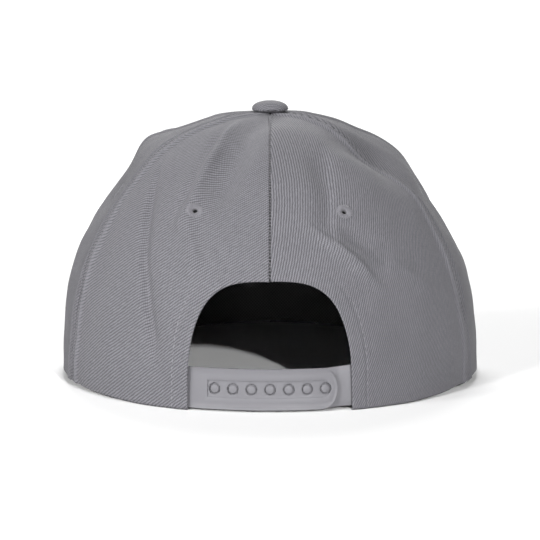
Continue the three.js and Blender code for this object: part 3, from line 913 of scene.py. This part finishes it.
def strap_with_holes(material):
    """The outer half: a bar with a beaded edge, a long recess and a hole for each snap."""
    end = CROWN_HALF_WIDTH * math.sin(STRAP_END / CROWN_HALF_WIDTH)
    blank = flat_strip(-STRAP_ROOT, end, STRAP_HEIGHT, STRAP_END_RADIUS, BEAD_RISE)
    face = raise_walls(blank, STRAP_THICKNESS + BEAD_RISE)
    bmesh.ops.inset_region(blank, faces=[face], thickness=BEAD_WIDTH, depth=-BEAD_RISE, use_even_offset=True)
    above = 2
    recess_end = end - RECESS_MARGIN
    recess = flat_strip(-LAST_SNAP - RECESS_MARGIN, recess_end, RECESS_HEIGHT, RECESS_HEIGHT / 2, above)
    raise_walls(recess, above + RECESS_DEPTH)
    body = cut_with(blank, [recess, *(snap_hole(x) for x in SNAP_PLACES)])
    soften(body, 0.11)
    slice_for_bending(body)
    mesh = bend_to_cap(body, "strap_with_holes_moulded", lambda x: np.full_like(x, UNDER_CLOTH))
    add_moulding("strap_with_holes", mesh, material)


def strap_with_pegs(material):
    """The inner half: a bar that steps in behind the outer one, with a peg for each hole."""
    blank = flat_strip(-STRAP_ROOT, STRAP_END, STRAP_HEIGHT, STRAP_END_RADIUS, 0)
    raise_walls(blank, STRAP_THICKNESS)
    soften(blank, 0.3)
    slice_for_bending(blank)

    def depth(x):
        step = STRAP_END + 1
        return SECOND_LAYER - (SECOND_LAYER - UNDER_CLOTH) * ease(x, step, step + 4 * STRAP_THICKNESS)

    def tilt(x):
        return 0.075 * np.maximum(x - STRAP_END + 4, 0)

    body = bmesh.new()
    join_on(body, bend_to_cap(blank, "strap_bar", depth, tilt, flip=-1))
    for place in SNAP_PLACES:
        peg = snap_peg()
        x, y, z = corner_places(peg)
        part = made_mesh("peg", peg)
        move_corners(part, strap_place(place + x, STRAP_MIDDLE + y, -z))
        join_on(body, part)
    add_moulding("strap_with_pegs", made_mesh("strap_with_pegs_moulded", body), material)


# Inside
def sweatband(material):
    mesh, across, upward = grid_mesh("sweatband_cloth", 260, 16)
    azimuth = BAND_START + (360 - 2 * BAND_START) * across
    turn = np.abs(wrapped(azimuth))
    root = math.degrees(STRAP_ROOT / CROWN_HALF_WIDTH)
    easing = 8
    beside = (STRAP_THICKNESS + FIT_GAP) * (1 - ease(turn, root + 1, root + 1 + easing))
    start = FRONT_SEAM + BACKING_MARGIN - 1
    front = (BACKING_THICKNESS + FIT_GAP) * ease(turn, start - easing, start)
    height = BAND_LIFT + BAND_HEIGHT * upward
    depth = UNDER_CLOTH + beside + front
    move_corners(mesh, on_crown(azimuth, up_at_height(azimuth, height), depth))
    lay_out(mesh, "cloth", (np.radians(azimuth) * CROWN_HALF_WIDTH, height))
    add_cloth("sweatband", mesh, material, "black_lining", BAND_THICKNESS)


def front_backing(material):
    mesh, across, upward = grid_mesh("front_backing_cloth", 120, 90)
    start = FRONT_SEAM + BACKING_MARGIN
    azimuth = start + (360 - 2 * start) * across
    lowest, highest = 0.02, 0.915
    up = lowest + (highest - lowest) * upward
    move_corners(mesh, on_crown(azimuth, up, UNDER_CLOTH))
    lay_out(mesh, "cloth", flat_pattern(azimuth, up, 180.0))
    add_cloth("front_backing", mesh, material, "black_lining", BACKING_THICKNESS)


# Finishes
def linked(tree, socket, value):
    """Gives a socket another node's output, a number or a colour."""
    if isinstance(value, bpy.types.NodeSocket):
        tree.links.new(value, socket)
    elif socket.type == "RGBA":
        socket.default_value = (*value, 1)
    else:
        socket.default_value = value


def made_node(tree, kind, values, output=0, **settings):
    """A new node's output, once the node has its settings and its inputs their values."""
    node = tree.nodes.new("ShaderNode" + kind)
    for label, setting in settings.items():
        setattr(node, label, setting)
    for label, value in values.items():
        linked(tree, node.inputs[label], value)
    return node.outputs[output]


def calculated(tree, operation, *values):
    return made_node(tree, "Math", dict(enumerate(values)), operation=operation)


def noise(tree, vector, scale, detail=2.0, roughness=0.5):
    values = {"Vector": vector, "Scale": scale, "Detail": detail, "Roughness": roughness}
    return made_node(tree, "TexNoise", values, "Fac")


def faded(tree, value, start, end, before, after):
    """Goes smoothly from one number before the start to another after the end."""
    values = {"Value": value, "From Min": start, "From Max": end, "To Min": before, "To Max": after}
    return made_node(tree, "MapRange", values, interpolation_type="SMOOTHSTEP")


def parts_of(tree, vector):
    node = tree.nodes.new("ShaderNodeSeparateXYZ")
    tree.links.new(vector, node.inputs[0])
    return node.outputs


def new_group(name, inputs, *outputs):
    """A node group, its sums, what it is given and its results. An input without a number is a vector."""
    group = bpy.data.node_groups.new(name, "ShaderNodeTree")
    for label, value in inputs.items():
        kind = "NodeSocketVector" if value is None else "NodeSocketFloat"
        socket = group.interface.new_socket(label, in_out="INPUT", socket_type=kind)
        if value is not None:
            socket.default_value = value
    for label in outputs:
        group.interface.new_socket(label, in_out="OUTPUT", socket_type="NodeSocketFloat")
    given, result = group.nodes.new("NodeGroupInput").outputs, group.nodes.new("NodeGroupOutput").inputs
    return group, partial(calculated, group), given, result


TWILL_SPACING = 0.98
YARN_PITCH = 0.8


def make_twill():
    """Raised diagonal lines of yarn. Cloth is the flat pattern in mm, and an angle of 90 runs upright."""
    inputs = {"Cloth": None, "Line spacing": TWILL_SPACING, "Line angle": 54.0, "Waver": 0.5}
    group, calc, given, result = new_group("twill weave", inputs, "Height", "Fuzz", "Streaks")
    x, y = parts_of(group, given["Cloth"])[:2]
    angle = calc("RADIANS", given["Line angle"])
    sine, cosine = calc("SINE", angle), calc("COSINE", angle)
    across = calc("SUBTRACT", calc("MULTIPLY", x, sine), calc("MULTIPLY", y, cosine))
    along = calc("ADD", calc("MULTIPLY", x, cosine), calc("MULTIPLY", y, sine))
    drift = calc("MULTIPLY", calc("SUBTRACT", noise(group, given["Cloth"], 0.09), 0.5), given["Waver"])
    shake = calc("MULTIPLY_ADD", noise(group, given["Cloth"], 0.7), 0.5, drift)
    line = calc("ADD", calc("DIVIDE", across, given["Line spacing"]), shake)
    ridge = calc("ABSOLUTE", calc("SINE", calc("MULTIPLY", line, math.pi)))
    ridge = calc("POWER", ridge, 0.75)
    yarn = calc("ADD", calc("MULTIPLY", along, 2 * math.pi / YARN_PITCH), calc("MULTIPLY", line, 3.0))
    yarn = calc("MULTIPLY_ADD", calc("SINE", yarn), 0.5, 0.5)
    height = calc("MULTIPLY", ridge, calc("MULTIPLY_ADD", yarn, 0.3, 0.7))
    group.links.new(height, result["Height"])
    fibres = {"X": calc("MULTIPLY", across, 1.6), "Y": calc("MULTIPLY", along, 0.35)}
    streaks = noise(group, made_node(group, "CombineXYZ", fibres), 1.0, 3.0, 0.7)
    group.links.new(streaks, result["Streaks"])
    group.links.new(noise(group, given["Cloth"], 2.2, 3.0, 0.65), result["Fuzz"])
    return group


def make_plain_weave():
    """Yarns that cross over and under. Cloth is the flat pattern in mm."""
    group, calc, given, result = new_group("plain weave", {"Cloth": None, "Yarn spacing": 0.9}, "Height")
    waves = []
    for part in parts_of(group, given["Cloth"])[:2]:
        turn = calc("MULTIPLY", calc("DIVIDE", part, given["Yarn spacing"]), math.pi)
        waves.append(calc("SINE", turn))
    group.links.new(calc("MULTIPLY_ADD", calc("MULTIPLY", *waves), 0.5, 0.5), result["Height"])
    return group


def make_row_groove():
    """The soft dips along rows of stitching. Distance is mm from the brim's edge."""
    inputs = {"Distance": 0.0, "First row": BRIM_FIRST_ROW, "Row pitch": BRIM_ROW_PITCH}
    group, calc, given, result = new_group("stitched rows", inputs, "Height")
    rows = calc("DIVIDE", calc("SUBTRACT", given["Distance"], given["First row"]), given["Row pitch"])
    turn = calc("ABSOLUTE", calc("SINE", calc("MULTIPLY", rows, math.pi)))
    group.links.new(calc("POWER", turn, 0.35), result["Height"])
    return group


def make_welt_highlight():
    """A painted highlight along the raised welt beside a seam, lighter where its ridge would catch the light.
    Distance is mm from the seam.
    """
    inputs = {"Distance": 0.0, "Middle": WELT, "Half width": 1.9}
    group, calc, given, result = new_group("painted welt highlight", inputs, "Mask")
    off = calc("ABSOLUTE", calc("SUBTRACT", given["Distance"], given["Middle"]))
    highlight_mask = faded(group, calc("DIVIDE", off, given["Half width"]), 0, 1, 1, 0)
    group.links.new(highlight_mask, result["Mask"])
    return group


def placed(tree, group, **values):
    node = tree.nodes.new("ShaderNodeGroup")
    node.node_tree = group
    for label, value in values.items():
        linked(tree, node.inputs[label.replace("_", " ")], value)
    return node.outputs


def shader(name, roughness, sheen, specular):
    material = bpy.data.materials.new(name)
    material.use_nodes = True
    tree = material.node_tree
    surface = tree.nodes["Principled BSDF"]
    surface.inputs["Roughness"].default_value = roughness
    surface.inputs["Specular IOR Level"].default_value = specular
    surface.inputs["Sheen Weight"].default_value = sheen
    surface.inputs["Sheen Roughness"].default_value = 0.5
    return material, tree, surface.inputs


def mixed(tree, share, low, high):
    return made_node(tree, "Mix", {"Factor": share, 6: low, 7: high}, 2, data_type="RGBA")


def shaded(tree, colour, share, low, high):
    """A colour times a number that goes from low to high with the share."""
    grey = calculated(tree, "MULTIPLY_ADD", share, high - low, low)
    return made_node(tree, "VectorMath", {0: colour, "Scale": grey}, operation="SCALE")


def bumped(tree, height, strength, distance, before=None):
    values = {"Height": height, "Strength": strength, "Distance": distance}
    if before is not None:
        values["Normal"] = before
    return made_node(tree, "Bump", values)


def uv(tree, name):
    return made_node(tree, "UVMap", {}, uv_map=name)


def object_places(tree):
    return made_node(tree, "TexCoord", {}, "Object")


CLOTH_RIDGE = (0.166, 0.163, 0.179)
# Painted shade: the twill's grooves are coloured far darker than its ridges
CLOTH_SHADED_GROOVE = (0.031, 0.0305, 0.0345)
# Painted highlight: the lighter grey of the band along each seam's welt
CLOTH_WELT_HIGHLIGHT = (0.132, 0.13, 0.143)
THREAD_GREY = (0.17, 0.167, 0.182)
EYELET_GREY = (0.142, 0.139, 0.153)
PLASTIC_GREY = (0.14, 0.138, 0.15)
# Painted light: both blacks are lighter than black cloth, the backing's most, standing in for the little
# light that reaches inside the crown and for the backing's tilt away from it
BAND_BLACK = (0.09, 0.09, 0.09)
BACKING_BLACK = (0.17, 0.17, 0.17)
PAPER_WHITE = (0.82, 0.82, 0.82)


def twill_cloth(name, weave, angle, spacing=TWILL_SPACING, band=None, rows=None, painted_shade_factor=1.0):
    """Twill at a line angle, with a painted highlight along the seams' welts or the brim's rows where they
    are given, and painted shade over all of it where the shade factor is below one.
    """
    material, tree, socket = shader(name, roughness=0.88, sheen=0.08, specular=0.25)
    cloth = uv(tree, "cloth")
    lines = placed(tree, weave, Cloth=cloth, Line_angle=angle, Line_spacing=spacing)
    # Painted shade: the colour darkens from ridge to groove with the weave's height
    colour = mixed(tree, lines["Height"], CLOTH_SHADED_GROOVE, CLOTH_RIDGE)
    if band is not None:
        # Painted highlight: a lighter band along each seam's welt, where its ridge would catch the light
        highlight_mask = placed(tree, band, Distance=parts_of(tree, uv(tree, "seam"))[0])["Mask"]
        colour = mixed(tree, calculated(tree, "MULTIPLY", highlight_mask, 0.6), colour, CLOTH_WELT_HIGHLIGHT)
    # Painted shade: a shade factor below one darkens the whole material
    colour = shaded(tree, colour, noise(tree, object_places(tree), 38, 3.0), 0.95 * painted_shade_factor, 1.05 * painted_shade_factor)
    colour = shaded(tree, colour, lines["Fuzz"], 0.88, 1.12)
    colour = shaded(tree, colour, lines["Streaks"], 0.6, 1.4)
    tree.links.new(colour, socket["Base Color"])
    before = None
    if rows is not None:
        dips = placed(tree, rows, Distance=parts_of(tree, uv(tree, "rows"))[0])["Height"]
        before = bumped(tree, dips, 0.9, 0.0006)
    tree.links.new(bumped(tree, lines["Height"], 0.55, 0.00022, before), socket["Normal"])
    return material


def thread_finish(name, colour):
    material, tree, socket = shader(name, roughness=0.75, sheen=0.2, specular=0.35)
    places = object_places(tree)
    tree.links.new(shaded(tree, colour, noise(tree, places, 900), 0.9, 1.08), socket["Base Color"])
    tree.links.new(bumped(tree, noise(tree, places, 2600, 1.0), 0.25, 0.0001), socket["Normal"])
    return material


def plastic_finish():
    material, tree, socket = shader("snap strap plastic", roughness=0.5, sheen=0.0, specular=0.3)
    places = object_places(tree)
    base = mixed(tree, noise(tree, places, 60), [part * 0.965 for part in PLASTIC_GREY], PLASTIC_GREY)
    tree.links.new(base, socket["Base Color"])
    haze = calculated(tree, "MULTIPLY_ADD", noise(tree, places, 240, 3.0), 0.12, 0.46)
    tree.links.new(haze, socket["Roughness"])
    wavy = bumped(tree, noise(tree, places, 70, 1.0), 0.35, 0.0006)
    tree.links.new(bumped(tree, noise(tree, places, 1500), 0.08, 0.0001, wavy), socket["Normal"])
    return material


def lining_finish(name, colour, weave, spacing, strength):
    material, tree, socket = shader(name, roughness=0.92, sheen=0.0, specular=0.1)
    height = placed(tree, weave, Cloth=uv(tree, "cloth"), Yarn_spacing=spacing)["Height"]
    # Painted shade: the weave's low places are half as bright
    base = mixed(tree, height, [part * 0.5 for part in colour], colour)
    tree.links.new(base, socket["Base Color"])
    tree.links.new(bumped(tree, height, strength, 0.0002), socket["Normal"])
    return material


# Assembly
twill = make_twill()
plain_weave = make_plain_weave()
row_groove = make_row_groove()
welt_highlight = make_welt_highlight()
left_cloth = twill_cloth("grey twill, left back", twill, 36, spacing=1.17, band=welt_highlight)
right_cloth = twill_cloth("grey twill, right back", twill, 61, band=welt_highlight)
# Painted shade: the side panels' twill is 12 % darker, where light falls on them at a grazing angle
shaded_side_cloth = twill_cloth("grey twill, sides", twill, 54, band=welt_highlight, painted_shade_factor=0.88)
panel_cloth = twill_cloth("grey twill", twill, 54, band=welt_highlight)
brim_cloth = twill_cloth("grey twill, stitched brim", twill, 54, rows=row_groove)
button_cloth = twill_cloth("grey twill, button", twill, 6)
sewing_thread = thread_finish("grey sewing thread", THREAD_GREY)
eyelet_thread = thread_finish("grey eyelet thread", EYELET_GREY)
strap_plastic = plastic_finish()
band_cloth = lining_finish("black sweatband cotton", BAND_BLACK, plain_weave, 0.8, 0.4)
backing_cloth = lining_finish("black stiff backing", BACKING_BLACK, plain_weave, 1.1, 0.6)

back_panel(-1, left_cloth)
back_panel(1, right_cloth)
plain_panel("panel_side_right", SIDE_SEAM, FRONT_SEAM, 96, shaded_side_cloth)
plain_panel("panel_side_left", -FRONT_SEAM, -SIDE_SEAM, 96, shaded_side_cloth)
plain_panel("panel_front_right", FRONT_SEAM, 180, 112, panel_cloth)
plain_panel("panel_front_left", -180, -FRONT_SEAM, 112, panel_cloth)
seams = SIDE_SEAM, -SIDE_SEAM, FRONT_SEAM, -FRONT_SEAM, 180
rows = [seam_row(seam, offset) for seam in seams for offset in (TOPSTITCH, -TOPSTITCH)]
stitch_rows("seam_thread", rows, sewing_thread)
stitch_rows("hem_thread", [hem_row(-1), hem_row(1)], sewing_thread, pitch=3.1)
ditch_stitches(sewing_thread)
for side, word in ((1, "right"), (-1, "left")):
    eyelet(f"eyelet_back_{word}", side * BACK_EYELET, eyelet_thread)
    eyelet(f"eyelet_side_{word}", side * (SIDE_SEAM + FRONT_SEAM) / 2, eyelet_thread)
    eyelet(f"eyelet_front_{word}", side * (FRONT_SEAM + 180) / 2, eyelet_thread)
button(button_cloth)
brim(brim_cloth)
brim_stitches(sewing_thread)
strap_with_holes(strap_plastic)
strap_with_pegs(strap_plastic)
sweatband(band_cloth)
front_backing(backing_cloth)


# Studio, in metres and degrees. A lamp has an azimuth, elevation, distance, size and power.
FLOOR_HALF_SIZE = 0.7
CAP_MIDDLE = (0, -0.03, 0.05)
BACKDROP_MIDDLE = (0, 0.62, 0)
LAMPS = {
    "low front lamp": (15, 18, 1.8, 0.06, 29),
    "low softbox": (-35, 20, 1.5, 0.3, 14.5),
    "low fill": (-5, 3.5, 1.5, 0.12, 1),
    "key softbox": (-60, 25, 1.5, 0.3, 8.2),
    "top softbox": (0, 88, 1.5, 0.3, 6.5),
}
ROOM_GREY = 0.04
BACKDROP_WHITE = 1.15
ROOM_STARTS_AT = 4
PHOTO_PIXELS = 540
PIXELS_PER_MM = 2.2
SENSOR = 36
CAMERA_ELEVATION = 8
CAMERA_AIM_HEIGHT = 46


def floor():
    ground = bmesh.new()
    bmesh.ops.create_grid(ground, x_segments=1, y_segments=1, size=FLOOR_HALF_SIZE)
    paper = as_object("studio_floor", ground)
    material, tree, socket = shader("white studio paper", roughness=0.9, sheen=0.0, specular=0.1)
    white = shaded(tree, PAPER_WHITE, noise(tree, object_places(tree), 3), 0.99, 1.01)
    tree.links.new(white, socket["Base Color"])
    paper.data.materials.append(material)


def direction(azimuth, elevation):
    turn, lean = math.radians(azimuth), math.radians(elevation)
    return Vector((math.sin(turn) * math.cos(lean), -math.cos(turn) * math.cos(lean), math.sin(lean)))


def stand_for(name, data, aim, away, distance):
    stand = bpy.data.objects.new(name, data)
    stand.location = Vector(aim) + away * distance
    stand.rotation_mode = "QUATERNION"
    stand.rotation_quaternion = (-away).to_track_quat("-Z", "Y")
    bpy.context.scene.collection.objects.link(stand)
    return stand


def lamp(name, azimuth, elevation, distance, size, power, aim=CAP_MIDDLE):
    light = bpy.data.lights.new(name, "AREA")
    light.shape = "DISK"
    light.size = size
    light.energy = power
    stand_for(name, light, aim, direction(azimuth, elevation), distance)


def surroundings():
    """White paper up to the horizon, and a dim room above it."""
    world = bpy.data.worlds.new("studio")
    world.use_nodes = True
    tree = world.node_tree
    height = parts_of(tree, made_node(tree, "TexCoord", {}, "Generated"))[2]
    room = math.sin(math.radians(ROOM_STARTS_AT))
    strength = faded(tree, height, 0, room, BACKDROP_WHITE, ROOM_GREY)
    tree.links.new(strength, tree.nodes["Background"].inputs["Strength"])
    tree.nodes["Background"].inputs["Color"].default_value = (1, 1, 1, 1)
    bpy.context.scene.world = world


def camera():
    """The photograph's view from behind, a metre away, at its own scale."""
    view = bpy.data.cameras.new("camera")
    view.sensor_width = SENSOR
    view.lens = SENSOR * PIXELS_PER_MM * 1000 / PHOTO_PIXELS
    view.clip_end = 50
    aim = metres((0, 0, CAMERA_AIM_HEIGHT))
    bpy.context.scene.camera = stand_for("camera", view, aim, direction(0, CAMERA_ELEVATION), 1)


floor()
for name, values in LAMPS.items():
    lamp(name, *values)
lamp("backdrop lamp", 180, 60, 1.1, 0.9, 20, aim=BACKDROP_MIDDLE)
surroundings()
camera()
bpy.context.scene.view_settings.view_transform = "Standard"
